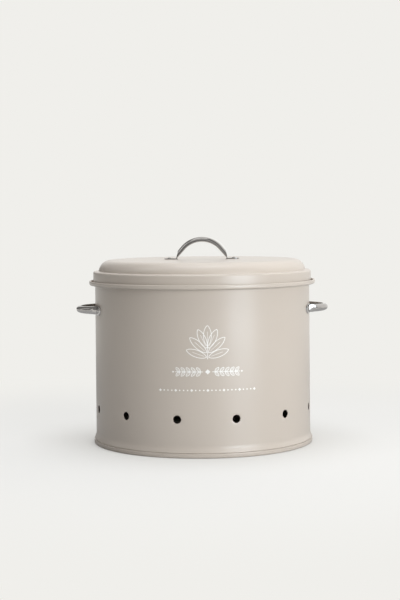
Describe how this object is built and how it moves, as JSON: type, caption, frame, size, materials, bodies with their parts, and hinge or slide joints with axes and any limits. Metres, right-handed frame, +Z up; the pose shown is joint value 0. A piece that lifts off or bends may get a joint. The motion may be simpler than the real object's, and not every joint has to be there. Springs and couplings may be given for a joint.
{
  "type": "potato storage bin",
  "caption": "Round kitchen storage bin of coated sheet steel, with a lift-off lid, riveted strap handles and a ring of vent holes near the base.",
  "frame": {"origin": "on the surface that the bin stands on, under the middle of the base", "axes": "+Z up along the bin's axis, -Y to the front, +X to the right-hand side handle"},
  "size_m": [0.2712, 0.2424, 0.2191],
  "materials": {
    "stone_coating": "satin powder coat",
    "bright_steel": "bright pressed steel",
    "white_print": "screen-printed ornament, in the scene only"
  },
  "bodies": {
    "bin": {"body_wall": "stone_coating", "base_pan": "stone_coating", "left_handle": "bright_steel", "right_handle": "bright_steel", "left_handle_rear_rivet": "bright_steel", "left_handle_front_rivet": "bright_steel", "right_handle_front_rivet": "bright_steel", "right_handle_rear_rivet": "bright_steel"},
    "lid": {"lid": "stone_coating", "lid_handle": "bright_steel", "lid_handle_left_rivet": "bright_steel", "lid_handle_right_rivet": "bright_steel"}
  },
  "joints": [
    {"name": "lid_lift", "type": "slide", "parent": "bin", "child": "lid", "axis": [0, 0, 1], "range_m": [0, 0.25]}
  ]
}
